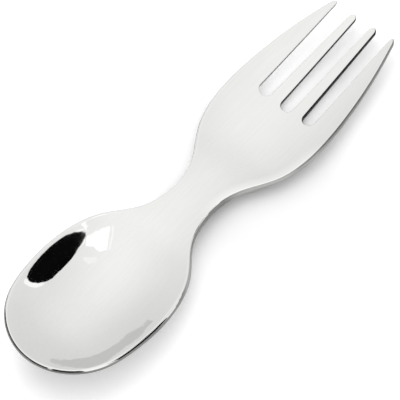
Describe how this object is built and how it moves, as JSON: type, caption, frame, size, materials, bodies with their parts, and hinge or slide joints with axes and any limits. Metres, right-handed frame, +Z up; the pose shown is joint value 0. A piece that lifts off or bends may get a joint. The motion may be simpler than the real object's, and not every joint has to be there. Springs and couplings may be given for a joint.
{
  "type": "spork",
  "caption": "Double-ended metal eating utensil with an egg-shaped spoon bowl, a pinched neck and a dished, tined fork.",
  "frame": {"origin": "centre of the bounding box in X and Y, on the surface that the utensil rests on", "axes": "+X along the utensil from the spoon end to the tine tips, +Y across it, +Z up out of the bowl"},
  "size_m": [0.1254, 0.035, 0.0102],
  "materials": {
    "stainless_steel": "mirror polished"
  },
  "bodies": {
    "root": {"spoon_bowl": "stainless_steel", "neck": "stainless_steel", "fork_palm": "stainless_steel", "tine_1": "stainless_steel", "tine_2": "stainless_steel", "tine_3": "stainless_steel", "tine_4": "stainless_steel"}
  },
  "joints": []
}
